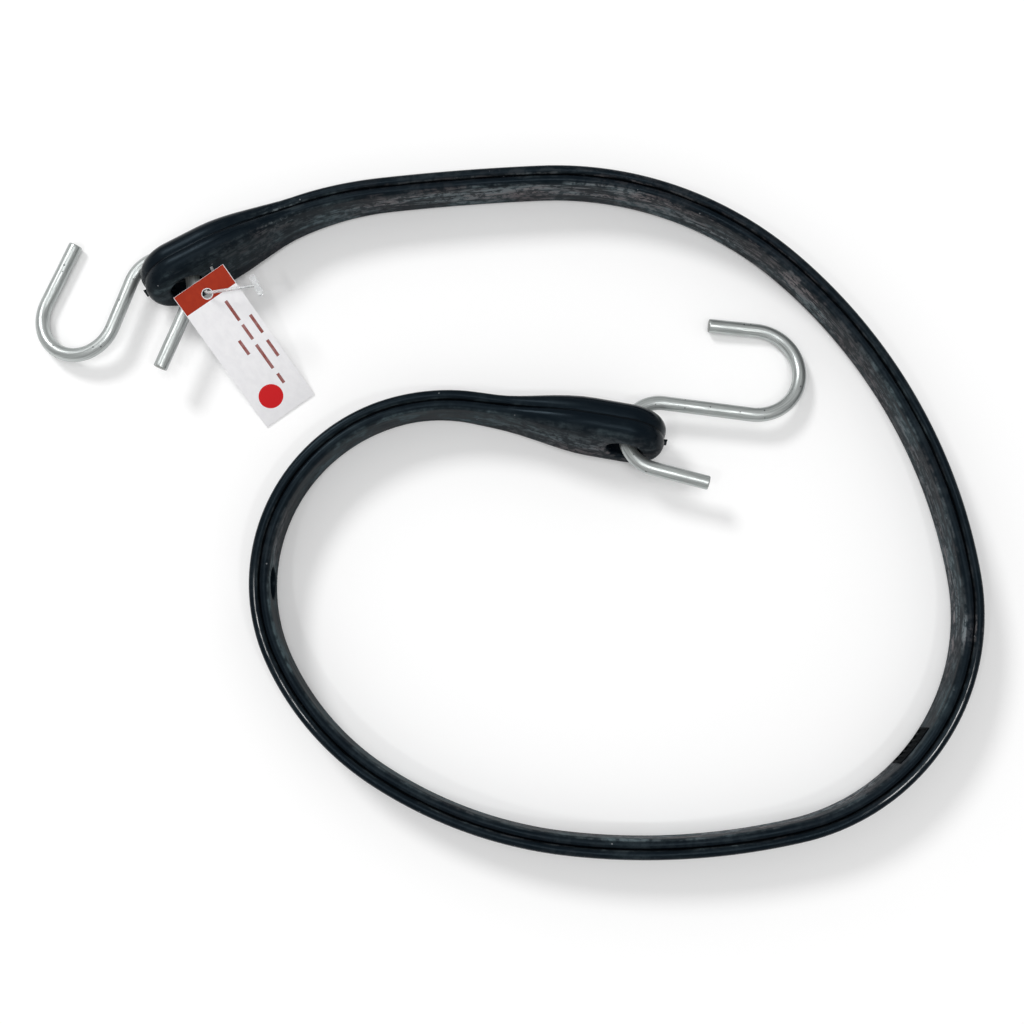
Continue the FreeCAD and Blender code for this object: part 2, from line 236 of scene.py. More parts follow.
LENGTH = sum(stretch_length(stretch) for stretch in ROUTE)
RING_POINTS = len(outline(*section_at(0)[:4]))
stations = [EYE_WIDTH / 2]
stations += [EYE_ROOT + TAPER_LENGTH * step / TAPER_STEPS for step in range(TAPER_STEPS + 1)]
deselect_all()
bpy.ops.mesh.primitive_circle_add(vertices=RING_POINTS, radius=EYE_WIDTH)
strap = bpy.context.object
strap.name = "rubber_strap"
bpy.ops.object.mode_set(mode="EDIT")
bpy.ops.mesh.select_all(action="SELECT")
shape_ring(strap, stations[0], stations[0])
for reach in stations[1:]:
    add_ring(strap, reach, reach)
for reach in stations:
    add_ring(strap, LENGTH - reach, reach)
for low, high in zip(stations, stations[1:]):
    cuts = max(0, round((high - low) / RING_SPACING) - 1)
    bridge(strap, low, high, cuts)
    bridge(strap, LENGTH - high, LENGTH - low, cuts)
bridge(strap, stations[-1], LENGTH - stations[-1], BODY_CUTS)

# Each tip is half of the eye's section spun about the axis of its hole.
for axis_x, turn in ((EYE_WIDTH / 2, math.pi), (LENGTH - EYE_WIDTH / 2, -math.pi)):
    pick(strap, lambda co: abs(co.x - axis_x) < TOUCHING and co.z > -TOUCHING)
    bpy.ops.mesh.spin(steps=TIP_STEPS, angle=turn, center=(axis_x, 0, 0), axis=(0, 1, 0))
bpy.ops.mesh.select_all(action="SELECT")
bpy.ops.mesh.remove_doubles(threshold=WELD)
bpy.ops.mesh.normals_make_consistent(inside=False)
bpy.ops.object.mode_set(mode="OBJECT")


def hole_cutter(x, z, radius, thickness, rim):
    """Spool-shaped cutter across the strap, its ends flared to round the rims of the hole."""
    deselect_all()
    bpy.ops.mesh.primitive_cylinder_add(vertices=HOLE_SIDES, radius=radius, depth=thickness - 2 * rim,
                                        location=(x, 0, z), rotation=(math.pi / 2, 0, 0))
    cutter = bpy.context.object
    bpy.ops.object.transform_apply(location=True, rotation=True, scale=True)
    bpy.ops.object.mode_set(mode="EDIT")
    for side in (-1, 1):
        pick(cutter, lambda co: side * co.y > 0)
        size = radius
        depth = thickness / 2 - rim
        for step in range(1, RIM_STEPS + 1):
            turn = math.pi / 2 * step / RIM_STEPS
            target = radius + rim * (1 - math.cos(turn))
            rise = thickness / 2 - rim + rim * math.sin(turn) - depth
            depth += rise
            bpy.ops.mesh.extrude_region_move(TRANSFORM_OT_translate={"value": (0, side * rise, 0)})
            bpy.ops.transform.resize(value=(target / size, 1, target / size),
                                     center_override=(x, side * depth, z))
            size = target
        bpy.ops.mesh.extrude_region_move(TRANSFORM_OT_translate={"value": (0, side * CUTTER_OVERSHOOT, 0)})
    bpy.ops.object.mode_set(mode="OBJECT")
    return cutter


cutters = [
    hole_cutter(EYE_WIDTH / 2, 0, HOLE_RADIUS, EYE_THICKNESS, HOLE_RIM),
    hole_cutter(LENGTH - EYE_WIDTH / 2, 0, HOLE_RADIUS, EYE_THICKNESS, HOLE_RIM),
    hole_cutter(LENGTH - ADJUSTING_HOLE_FROM_TIP, 0, HOLE_RADIUS, STRAP_THICKNESS, ADJUSTING_RIM),
    hole_cutter(PIERCE_FROM_TIP, PIERCE_HEIGHT, PIERCE_RADIUS, EYE_THICKNESS, PIERCE_RIM),
]
for cutter in cutters:
    cut_away(strap, cutter, "MANIFOLD")

# Moulded details of the strap, of the same rubber and out of the same mould: a pad of low ribs in a
# frame on its inner face, and the tab of flash that the parting line of the mould leaves at each tip.

PAD_FROM_TIP = 383.0 * MM
PAD_LENGTH = 14.5 * MM
PAD_HEIGHT = 11.0 * MM
PAD_RISE = 0.4 * MM
PAD_RIB = 0.9 * MM
PAD_RIBS = 7
PAD_ROOT = 0.3 * MM
PAD_EDGE = 0.14 * MM
FLASH_THICKNESS = 0.8 * MM
FLASH_HEIGHT = 3.2 * MM
FLASH_REACH = 0.8 * MM
FLASH_ROOT = 1.6 * MM
FLASH_DROP = 2.0 * MM
FLASH_RAGGED = 0.22 * MM


def add_bar(x, z, length, height):
    """Bar of the pad, rooted in the inner face, with its edges rounded, in edit mode."""
    bpy.ops.mesh.select_all(action="DESELECT")
    out = (STRAP_THICKNESS + PAD_RISE - PAD_ROOT) / 2
    bpy.ops.mesh.primitive_cube_add(size=1, location=(x, -out, z),
                                    scale=(length, PAD_RISE + PAD_ROOT, height))
    bpy.ops.mesh.bevel(offset=PAD_EDGE, segments=2)


def add_flash(x, side):
    """Ragged tab of flash on the parting line of a tip, in edit mode."""
    bpy.ops.mesh.select_all(action="DESELECT")
    middle = x + side * (FLASH_REACH - FLASH_ROOT) / 2
    bpy.ops.mesh.primitive_cube_add(size=1, location=(middle, 0, -FLASH_DROP),
                                    scale=(FLASH_REACH + FLASH_ROOT, FLASH_THICKNESS, FLASH_HEIGHT))
    bpy.ops.mesh.subdivide(number_cuts=4)
    bpy.ops.transform.vertex_random(offset=FLASH_RAGGED, seed=5)


make_active(strap)
bpy.ops.object.mode_set(mode="EDIT")
pad_start = PAD_FROM_TIP - PAD_LENGTH / 2
pad_pitch = (PAD_LENGTH - PAD_RIB) / (PAD_RIBS - 1)
for rib in range(PAD_RIBS):
    middle = pad_start + PAD_RIB / 2 + pad_pitch * rib
    add_bar(middle, 0, PAD_RIB, PAD_HEIGHT)
    if rib < PAD_RIBS - 1:
        for side in (-1, 1):
            add_bar(middle + pad_pitch / 2, side * (PAD_HEIGHT - PAD_RIB) / 2, pad_pitch, PAD_RIB)
# The bevels leave gaps in the edit mesh, which new points would fill in an order that changes from
# run to run. Leaving edit mode closes them, so the ragged faces of both tabs are always the same.
bpy.ops.object.mode_set(mode="OBJECT")
bpy.ops.object.mode_set(mode="EDIT")
add_flash(0, -1)
add_flash(LENGTH, 1)
bpy.ops.object.mode_set(mode="OBJECT")

# Surface of the strap: plain black rubber as it leaves the mould. It carries a thin grey film and
# patches of pale bloom, mostly on the inner face, and parts of its outer lobe are still glossy. The
# pattern is fixed to the straight strap, which is then bent along its route.

# Patches of bloom: distance from the left tip, height above the middle, half length and half height in
# mm, and strength.
BLOOM = [
    (92, 1, 20, 5, 0.5), (117, 3, 20, 3, 0.8), (145, 5, 20, 4, 0.9), (189, -3, 10, 3, 0.7),
    (222, 2, 8, 4, 1.3), (230, -2, 6, 3, 1.0), (160, 0, 110, 14, 0.35), (300, -3, 60, 9, 0.35),
    (336, -2, 14, 6, 0.5), (424, -5, 34, 7, 0.9), (480, 0, 60, 9, 0.5), (640, 3, 14, 6, 0.4),
    (758, -2, 26, 8, 0.4), (47, 10, 7, 3, 0.6), (343, 9, 4, 2, 1.0),
]
BLOOM_LIMIT = 0.85
# Glossy stretches of the outer lobe: their middle from the left tip and their half length in mm.
GLOSSY = [(380, 32), (604, 30)]
GLOSSY_LINE = 1.35 * MM
GLOSSY_EDGE = (0.42 * MM, 0.12 * MM)
CLEAN_END = (30 * MM, 75 * MM)
PAD_DEPTH = 2.0 * MM
# Edges of the line along the parting line, which the bump sinks and which is darkened as painted shade, and
# of the painted shade in the grooves.
SEAM_EDGE = (0.32 * MM, 0.12 * MM)
GROOVE_SHADE_EDGE = (0.9 * MM, 0.15 * MM)
SEAM_WANDER = 0.8 * MM
CLEAN_BLACK = (0.0020, 0.0044, 0.0072, 1)
FILM_GREY = (0.066, 0.092, 0.102, 1)
BLOOM_BLUE_GREY = (0.19, 0.225, 0.24, 1)
BLOOM_BROWN_GREY = (0.235, 0.21, 0.215, 1)
PAD_BLACK = (0.0008, 0.0011, 0.0015, 1)
# Near black painted as shade into the grooves and along the parting line.
GROOVE_SHADE = (0.0018, 0.0022, 0.0030, 1)
SPECK_GREY = (0.22, 0.23, 0.24, 1)
BLUE_SHEEN = (0.62, 0.84, 1.0, 1)


def remember_bloom(obj):
    """Keeps the strength of the bloom at each point of the straight strap."""
    store = obj.data.attributes.new("bloom", "FLOAT", "POINT")
    for vert in obj.data.vertices:
        total = 0
        for along, upright, half_length, half_height, strength in BLOOM:
            reach = Vector(((vert.co.x / MM - along) / half_length,
                            (vert.co.z / MM - upright) / half_height)).length
            total += strength * math.exp(-reach * reach)
        store.data[vert.index].value = total


remember_straight(strap)
remember_bloom(strap)
line_points = []
line_tilts = []
start, heading = ROUTE_START, ROUTE_HEADING
gone = 0.0
for stretch in ROUTE:
    length = stretch_length(stretch)
    pieces = max(1, round(length / MM))
    for step in range(pieces + (stretch is ROUTE[-1])):
        here, turned = travel(start, heading, stretch, length * step / pieces)
        distance = gone + length * step / pieces
        reach = max(min(distance, LENGTH - distance), EYE_WIDTH / 2)
        line_points.append(here + Vector((0, 0, standing_height(reach))))
        line_tilts.append(-section_at(reach)[4])
    start, heading = travel(start, heading, stretch, length)
    gone += length
lay_along(strap, line_points, line_tilts)
finish_mesh(strap, SMOOTH_BELOW)


def new_material(name):
    """A material with its node tree and its Principled shader."""
    material = bpy.data.materials.new(name)
    material.use_nodes = True
    return material, material.node_tree, material.node_tree.nodes["Principled BSDF"]


def add_node(tree, kind, operation=None, **values):
    """Node of a kind, with its operation and the values of its inputs by name or place."""
    node = tree.nodes.new(kind)
    if operation:
        node.operation = operation
    for name, value in values.items():
        place = int(name[1:]) if name[0] == "i" and name[1:].isdigit() else name.replace("_", " ")
        if isinstance(value, bpy.types.NodeSocket):
            tree.links.new(value, node.inputs[place])
        else:
            node.inputs[place].default_value = value
    return node


def stored(tree, name):
    """Values that are kept on the points of the mesh."""
    node = add_node(tree, "ShaderNodeAttribute")
    node.attribute_name = name
    return node


def math_node(tree, operation, first, second=0.0, third=0.0):
    return add_node(tree, "ShaderNodeMath", operation, i0=first, i1=second, i2=third).outputs[0]


def times(tree, product, *factors):
    for factor in factors:
        product = math_node(tree, "MULTIPLY", product, factor)
    return product


def away_from(tree, value, middle):
    """How far a value is from a middle, on either side."""
    return math_node(tree, "ABSOLUTE", math_node(tree, "SUBTRACT", value, middle))


def ramp(tree, value, low, high, out_low=0.0, out_high=1.0):
    """Smooth step of a value from one range to another."""
    node = tree.nodes.new("ShaderNodeMapRange")
    node.interpolation_type = "SMOOTHSTEP"
    for place, item in zip(range(5), (value, low, high, out_low, out_high)):
        if isinstance(item, bpy.types.NodeSocket):
            tree.links.new(item, node.inputs[place])
        else:
            node.inputs[place].default_value = item
    return node.outputs[0]


def mix_color(tree, share, first, second):
    node = tree.nodes.new("ShaderNodeMix")
    node.data_type = "RGBA"
    for socket, item in ((node.inputs[0], share), (node.inputs[6], first), (node.inputs[7], second)):
        if isinstance(item, bpy.types.NodeSocket):
            tree.links.new(item, socket)
        else:
            socket.default_value = item
    return node.outputs[2]


def new_group(name, inputs, output):
    """Node group with a vector, some named values with their defaults, and one value out."""
    tree = bpy.data.node_groups.new(name, "ShaderNodeTree")
    tree.interface.new_socket("Vector", in_out="INPUT", socket_type="NodeSocketVector")
    for label, value in inputs.items():
        socket = tree.interface.new_socket(label, in_out="INPUT", socket_type="NodeSocketFloat")
        socket.default_value = value
    tree.interface.new_socket(output, in_out="OUTPUT", socket_type="NodeSocketFloat")
    return tree, tree.nodes.new("NodeGroupInput"), tree.nodes.new("NodeGroupOutput")


def use_group(tree, group, vector, **values):
    """Puts a node group into a material, with its own values, and gives what it puts out."""
    node = tree.nodes.new("ShaderNodeGroup")
    node.node_tree = group
    tree.links.new(vector, node.inputs["Vector"])
    for name, value in values.items():
        node.inputs[name].default_value = value
    return node.outputs[0]


# Streaks drawn out along a piece: their length and width are in millimetres.
defaults = {"Length": 20.0, "Width": 1.5, "Shift": 0.0}
streaks, given, result = new_group("lengthwise_streaks", defaults, "Streak")
lengthwise = math_node(streaks, "DIVIDE", 1 / MM, given.outputs["Length"])
crosswise = math_node(streaks, "DIVIDE", 1 / MM, given.outputs["Width"])
stretch_by = add_node(streaks, "ShaderNodeCombineXYZ", X=lengthwise, Y=crosswise, Z=crosswise)
scaled = add_node(streaks, "ShaderNodeVectorMath", "MULTIPLY", i0=given.outputs["Vector"],
                  i1=stretch_by.outputs[0])
shifted = add_node(streaks, "ShaderNodeVectorMath", "ADD", i0=scaled.outputs[0], i1=given.outputs["Shift"])
noise = add_node(streaks, "ShaderNodeTexNoise", Vector=shifted.outputs[0], Scale=1.0, Detail=5.0,
                 Roughness=0.6)
streaks.links.new(noise.outputs[0], result.inputs[0])

# Sparse specks: their spacing in millimetres, their size as a share of it, and how many cells have one.
defaults = {"Spacing": 3.0, "Size": 0.1, "Share": 0.5}
specks, given, result = new_group("sparse_specks", defaults, "Speck")
per_metre = math_node(specks, "DIVIDE", 1 / MM, given.outputs["Spacing"])
cells = add_node(specks, "ShaderNodeTexVoronoi", Vector=given.outputs["Vector"], Scale=per_metre)
near = math_node(specks, "LESS_THAN", cells.outputs["Distance"], given.outputs["Size"])
pick_cell = add_node(specks, "ShaderNodeSeparateColor", Color=cells.outputs["Color"])
chosen = math_node(specks, "LESS_THAN", pick_cell.outputs[0], given.outputs["Share"])
specks.links.new(times(specks, near, chosen), result.inputs[0])

rubber, tree, shader = new_material("black_rubber")
straight = stored(tree, "straight").outputs["Vector"]
place = add_node(tree, "ShaderNodeSeparateXYZ", Vector=straight)
turned_to = add_node(tree, "ShaderNodeSeparateXYZ", Vector=stored(tree, "facing").outputs["Vector"])
broad = use_group(tree, streaks, straight, Length=26.0, Width=3.2, Shift=0.0)
fine = use_group(tree, streaks, straight, Length=7.0, Width=0.7, Shift=7.0)
blotch = use_group(tree, streaks, straight, Length=45.0, Width=14.0, Shift=21.0)
mottle = add_node(tree, "ShaderNodeTexNoise", Vector=straight, Scale=420.0, Detail=4.0, Roughness=0.7)
patch = add_node(tree, "ShaderNodeTexNoise", Vector=straight, Scale=95.0, Detail=3.0, Roughness=0.6)
inner = ramp(tree, turned_to.outputs["Y"], -0.35, -0.92)
from_middle = away_from(tree, place.outputs["X"], LENGTH / 2)
on_body = ramp(tree, from_middle, LENGTH / 2 - CLEAN_END[0], LENGTH / 2 - CLEAN_END[1])

# The film is thin on the outer face and the eyes, and broken into streaks and patches.
film = times(tree, ramp(tree, broad, 0.36, 0.66, 0.12, 1.0),
             ramp(tree, mottle.outputs[0], 0.38, 0.62, 0.4, 1.0),
             ramp(tree, patch.outputs[0], 0.42, 0.58, 0.25, 1.3),
             ramp(tree, blotch, 0.40, 0.60, 1.35, 0.6),
             ramp(tree, inner, 0.0, 1.0, 0.10, 1.0),
             ramp(tree, on_body, 0.0, 1.0, 0.35, 1.0))
filmed = mix_color(tree, film, CLEAN_BLACK, FILM_GREY)
dust = times(tree, stored(tree, "bloom").outputs["Fac"],
             ramp(tree, math_node(tree, "ADD", fine, broad), 0.86, 1.12),
             ramp(tree, mottle.outputs[0], 0.42, 0.58, 0.15, 1.5),
             ramp(tree, inner, 0.0, 1.0, 0.12, 1.0))
dust = math_node(tree, "MINIMUM", dust, BLOOM_LIMIT)
dust_tint = mix_color(tree, ramp(tree, blotch, 0.42, 0.58), BLOOM_BLUE_GREY, BLOOM_BROWN_GREY)
dusty = mix_color(tree, dust, filmed, dust_tint)

# The ribs of the pad stay black, and a few pale specks lie all over. Shade is painted into the two grooves,
# darkest along the parting line at their bottom.
from_pad = away_from(tree, place.outputs["X"], PAD_FROM_TIP)
on_pad = times(tree, math_node(tree, "LESS_THAN", from_pad, PAD_LENGTH / 2),
               math_node(tree, "COMPARE", place.outputs["Z"], 0.0, PAD_HEIGHT / 2),
               math_node(tree, "LESS_THAN", place.outputs["Y"], -PAD_DEPTH))
padded = mix_color(tree, on_pad, dusty, PAD_BLACK)
wander = times(tree, math_node(tree, "SUBTRACT", fine, 0.5), SEAM_WANDER)
off_line = math_node(tree, "ABSOLUTE", math_node(tree, "ADD", place.outputs["Y"], wander))
seam = ramp(tree, off_line, *SEAM_EDGE)
# Painted shade: the grooves and the parting line at their bottom are darkened towards near black.
groove = times(tree, ramp(tree, off_line, *GROOVE_SHADE_EDGE), on_body, 0.6)
groove_shaded = mix_color(tree, math_node(tree, "MAXIMUM", seam, groove), padded, GROOVE_SHADE)
pale = use_group(tree, specks, straight, Spacing=4.2, Size=0.06, Share=0.35)
speckled = mix_color(tree, times(tree, pale, 0.6), groove_shaded, SPECK_GREY)
tree.links.new(speckled, shader.inputs["Base Color"])

gloss = times(tree, ramp(tree, broad, 0.35, 0.7, 0.26, 0.44),
              ramp(tree, turned_to.outputs["Y"], 0.0, 0.5, 1.0, 0.4))
rough = math_node(tree, "ADD", gloss, times(tree, math_node(tree, "ADD", dust, film), 0.3))
rough = math_node(tree, "ADD", rough, times(tree, inner, 0.3))
rough = math_node(tree, "MAXIMUM", rough, on_pad)
tree.links.new(rough, shader.inputs["Roughness"])
shader.inputs["Specular IOR Level"].default_value = 0.1
shader.inputs["Specular Tint"].default_value = BLUE_SHEEN
near_glossy = 0.0
for along, half_length in GLOSSY:
    near = ramp(tree, away_from(tree, place.outputs["X"], along * MM), half_length * MM, half_length / 2 * MM)
    near_glossy = math_node(tree, "MAXIMUM", near_glossy, near)
glossy_line = ramp(tree, away_from(tree, place.outputs["Y"], GLOSSY_LINE), *GLOSSY_EDGE)
coat = times(tree, near_glossy, glossy_line, ramp(tree, fine, 0.38, 0.58, 0.1, 1.0))
tree.links.new(coat, shader.inputs["Coat Weight"])
shader.inputs["Coat Roughness"].default_value = 0.12
shader.inputs["Coat IOR"].default_value = 2.2
grain = math_node(tree, "ADD", times(tree, fine, 0.06), times(tree, broad, 0.10))
height = math_node(tree, "SUBTRACT", grain, times(tree, seam, 0.35))
bump = add_node(tree, "ShaderNodeBump", Height=height, Strength=0.5, Distance=MM)
tree.links.new(bump.outputs[0], shader.inputs["Normal"])
strap.data.materials.clear()
strap.data.materials.append(rubber)
strap.data.polygons.foreach_set("material_index", [0] * len(strap.data.polygons))
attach(strap, "strap_body")
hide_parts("strap")

# S-hooks: 4.4 mm galvanised steel wire, cut to length and bent cold. The small bend of each passes
# through the hole of its eye, and the large open bend rests on the floor.

WIRE_RADIUS = 2.2 * MM
CUT_EDGE = 0.4 * MM
SMALL_BEND = 11.0 * MM
WIRE_SIDES = 36
CUT_EDGE_STEPS = 4
WIRE_RING_SPACING = 0.8 * MM
BEND_STEP = 0.4 * MM
END_INSET = 0.5 * MM
SMOOTH_WIRE_BELOW = 35
ZINC_DULL = (0.36, 0.385, 0.38, 1)
ZINC_BRIGHT = (0.56, 0.59, 0.58, 1)
ZINC_CLOUD = (0.40, 0.425, 0.42, 1)
FLECK_DARK = (0.05, 0.055, 0.06, 1)
CUT_STEEL = (0.16, 0.165, 0.155, 1)


def add_wire_ring(x, radius):
    """Circle round the wire at a distance along it."""
    bpy.ops.mesh.primitive_circle_add(vertices=WIRE_SIDES, radius=radius, location=(x, 0, 0),
                                      rotation=(0, math.pi / 2, 0))


def straight_wire(name, length):
    """Straight wire along X, with the edges of its cut ends rounded."""
    deselect_all()
    add_wire_ring(0, WIRE_RADIUS - CUT_EDGE)
    wire = bpy.context.object
    wire.name = name
    bpy.ops.object.transform_apply(location=True, rotation=True, scale=True)
    bpy.ops.object.mode_set(mode="EDIT")
    rims = []
    for step in range(1, CUT_EDGE_STEPS + 1):
        turn = math.pi / 2 * step / CUT_EDGE_STEPS
        rims.append((CUT_EDGE * (1 - math.cos(turn)), WIRE_RADIUS - CUT_EDGE + CUT_EDGE * math.sin(turn)))
    stations = [0.0] + [depth for depth, radius in rims]
    rings = [(x, radius) for depth, radius in rims for x in (depth, length - depth)]
    for x, radius in rings + [(length, WIRE_RADIUS - CUT_EDGE)]:
        bpy.ops.mesh.select_all(action="DESELECT")
        add_wire_ring(x, radius)
    for low, high in zip(stations, stations[1:]):
        bridge(wire, low, high, 0)
        bridge(wire, length - high, length - low, 0)
    bridge(wire, stations[-1], length - stations[-1], round(length / WIRE_RING_SPACING))
    for end in (0, length):
        pick(wire, lambda co: abs(co.x - end) < TOUCHING)
        bpy.ops.mesh.edge_face_add()
        bpy.ops.mesh.inset(thickness=END_INSET)
    bpy.ops.mesh.select_all(action="SELECT")
    bpy.ops.mesh.normals_make_consistent(inside=False)
    bpy.ops.object.mode_set(mode="OBJECT")
    return wire


def bend_points(start, heading, side, runs):
    """Points along a wire; each run is its length and, for a bend to one side, its radius."""
    points = [start]
    for length, radius in runs:
        steps = round(length / BEND_STEP)
        turn = 0 if radius is None else side * length / steps / radius
        chord = length / steps if radius is None else 2 * radius * math.sin(abs(turn) / 2)
        for step in range(steps):
            heading += turn / 2
            points.append(points[-1] + Vector((math.cos(heading), math.sin(heading), 0)) * chord)
            heading += turn / 2
    return points


def hinge_named(name):
    return next(joint for joint in frame["joints"] if joint["name"] == name)


def turn_to(x_axis, y_axis, z_axis):
    """Turn that brings the three axes to these directions."""
    return Matrix((x_axis, y_axis, z_axis)).transposed().to_4x4()


def settle(obj, matrix):
    """Puts a finished piece in its place and applies that place to its mesh."""
    obj.matrix_world = matrix
    make_active(obj)
    bpy.ops.object.transform_apply(location=True, rotation=True, scale=True)


def s_hook(name, joint, end, spread, small_leg, shared_leg, big_radius, big_sweep, open_leg, yaw,
           seat_gap, seat_turn, slide, droop):
    """Bent hook, set square to the hole that its hinge gives; its sizes are in mm and degrees."""
    seat = SMALL_BEND - seat_gap * MM
    seat_turn = math.radians(seat_turn)
    bend = Vector((seat * math.cos(seat_turn), end * seat * math.sin(seat_turn), 0))
    shoulder = bend + Vector((0, end * SMALL_BEND, 0))
    small = [(SMALL_BEND * math.radians(180 - spread), SMALL_BEND), (small_leg * MM, None)]
    large = [(shared_leg * MM, None), (big_radius * MM * math.radians(big_sweep), big_radius * MM),
             (open_leg * MM, None)]
    points = bend_points(shoulder, math.pi, end, small)[:0:-1] + bend_points(shoulder, 0, end, large)
    wire = straight_wire(name, sum(length for length, radius in small + large))
    remember_straight(wire)
    lay_along(wire, points, [0] * len(points))
    hinge = hinge_named(joint)
    axis = Vector(hinge["axis"])
    outward = axis.cross(Vector((0, 0, 1))).normalized() * end
    across = axis * end
    square = turn_to(outward, across, outward.cross(across))
    tip = Matrix.Rotation(math.radians(droop), 4, "Y") @ Matrix.Rotation(math.radians(yaw), 4, "Z")
    settle(wire, Matrix.Translation(Vector(hinge["pos_m"]) + axis * slide * MM) @ square @ tip)
    finish_mesh(wire, SMOOTH_WIRE_BELOW)
    return wire


zinc, tree, shader = new_material("galvanised_wire")
straight = stored(tree, "straight").outputs["Vector"]
turned_to = add_node(tree, "ShaderNodeSeparateXYZ", Vector=stored(tree, "facing").outputs["Vector"])
drawn = use_group(tree, streaks, straight, Length=9.0, Width=0.35, Shift=3.0)
cloud = use_group(tree, streaks, straight, Length=6.0, Width=2.4, Shift=11.0)
flecks = use_group(tree, specks, straight, Spacing=1.9, Size=0.15, Share=0.22)
worn = mix_color(tree, ramp(tree, drawn, 0.36, 0.62), ZINC_DULL, ZINC_BRIGHT)
clouded = mix_color(tree, ramp(tree, cloud, 0.35, 0.7, 0.0, 0.35), worn, ZINC_CLOUD)
flecked = mix_color(tree, times(tree, flecks, 0.75), clouded, FLECK_DARK)
cut_face = ramp(tree, math_node(tree, "ABSOLUTE", turned_to.outputs["X"]), 0.55, 0.95)
tree.links.new(mix_color(tree, cut_face, flecked, CUT_STEEL), shader.inputs["Base Color"])
shader.inputs["Metallic"].default_value = 0.8
tree.links.new(ramp(tree, drawn, 0.3, 0.7, 0.42, 0.28), shader.inputs["Roughness"])
scored = math_node(tree, "SUBTRACT", times(tree, drawn, 0.05), times(tree, flecks, 0.04))
bump = add_node(tree, "ShaderNodeBump", Height=scored, Strength=0.6, Distance=MM)
tree.links.new(bump.outputs[0], shader.inputs["Normal"])

hook_left = s_hook("wire_hook_left", "left_hook_hinge", -1, spread=-2.0, small_leg=22.9, shared_leg=15.7,
                   big_radius=12.7, big_sweep=183.9, open_leg=20.8, yaw=40.8, seat_gap=2.5,
                   seat_turn=25.9, slide=0.2, droop=9.189)
hook_right = s_hook("wire_hook_right", "right_hook_hinge", 1, spread=7.8, small_leg=17.7, shared_leg=27.3,
                    big_radius=14.3, big_sweep=181.5, open_leg=15.1, yaw=3.6, seat_gap=0.6,
                    seat_turn=0.0, slide=0.5, droop=1.933)
for wire, body, node in ((hook_left, "hook_left", "s_hook_left"), (hook_right, "hook_right", "s_hook_right")):
    wire.data.materials.append(zinc)
    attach(wire, body)
    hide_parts(node)

# Hang tag: a thin card of white board, cut square, punched at one end and printed on its upper side. It
# hangs from the fastener by its hole and leans down to the floor.

TAG_WIDTH = 18.2 * MM
TAG_LENGTH = 50.0 * MM
TAG_SETBACK = 4.7 * MM
CARD_THICKNESS = 0.4 * MM
PUNCH_RADIUS = 1.55 * MM
HOLE_BEARING = 0.8 * MM
PUNCH_SIDES = 48
PUNCH_LENGTH = 3.0 * MM
SMOOTH_CARD_BELOW = 15
BAND_LENGTH = 6.9 * MM
BARE_EDGE = 0.15 * MM
BARE_RIM = 0.22 * MM
INK_DEPTH = 0.02 * MM
BAR_HALF_HEIGHT = 0.5 * MM
# Printed bars, each its middle along and across from the hole and its length, in mm.
BARS = [(8.7, 3.3, 7.4), (16.8, 3.3, 5.6), (26.2, 3.2, 9.2), (34.8, 3.4, 3.6),
        (16.2, 7.0, 6.8), (25.4, 6.8, 6.2), (20.2, -0.4, 5.4)]
# Printed spot: its middle along and across from the hole and its radius.
SPOT = (37.8 * MM, -2.4 * MM, 3.9 * MM)
BOARD_SHADE = (0.91, 0.905, 0.925, 1)
BOARD_WHITE = (0.96, 0.955, 0.97, 1)
BAR_BROWN = (0.26, 0.035, 0.022, 1)
BAND_DARK = (0.35, 0.024, 0.006, 1)
BAND_LIGHT = (0.40, 0.032, 0.008, 1)
SPOT_RED = (0.66, 0.012, 0.016, 1)

deselect_all()
bpy.ops.mesh.primitive_cube_add(size=1, location=(TAG_LENGTH / 2 - TAG_SETBACK, 0, 0),
                                scale=(TAG_LENGTH, TAG_WIDTH, CARD_THICKNESS))
tag = bpy.context.object
tag.name = "card_tag"
bpy.ops.object.transform_apply(location=True, rotation=True, scale=True)
deselect_all()
bpy.ops.mesh.primitive_cylinder_add(vertices=PUNCH_SIDES, radius=PUNCH_RADIUS, depth=PUNCH_LENGTH)
cut_away(tag, bpy.context.object, "EXACT")
remember_straight(tag)
hinge = hinge_named("tag_hinge")
normal = Vector(hinge["axis"])
sideways = normal.cross(Vector((0, 0, 1))).normalized() * -1
downhill = sideways.cross(normal)
hole_centre = Vector(hinge["pos_m"]) + downhill * HOLE_BEARING
settle(tag, Matrix.Translation(hole_centre) @ turn_to(downhill, sideways, normal))
finish_mesh(tag, SMOOTH_CARD_BELOW)

card, tree, shader = new_material("printed_card")
straight = stored(tree, "straight").outputs["Vector"]
place = add_node(tree, "ShaderNodeSeparateXYZ", Vector=straight)
fibre = use_group(tree, streaks, straight, Length=3.0, Width=2.0, Shift=5.0)
print_side = math_node(tree, "GREATER_THAN", place.outputs["Z"], CARD_THICKNESS / 2 - INK_DEPTH)
board = mix_color(tree, ramp(tree, fibre, 0.3, 0.7), BOARD_SHADE, BOARD_WHITE)
ink = 0.0
for along, across, length in BARS:
    in_length = math_node(tree, "COMPARE", place.outputs["X"], along * MM, length / 2 * MM)
    in_height = math_node(tree, "COMPARE", place.outputs["Y"], across * MM, BAR_HALF_HEIGHT)
    ink = math_node(tree, "MAXIMUM", ink, times(tree, in_length, in_height))
ink = times(tree, ink, print_side, ramp(tree, fibre, 0.2, 0.6, 0.75, 0.95))
barred = mix_color(tree, ink, board, BAR_BROWN)
from_spot = add_node(tree, "ShaderNodeVectorMath", "DISTANCE", i0=straight,
                     i1=(SPOT[0], SPOT[1], CARD_THICKNESS / 2))
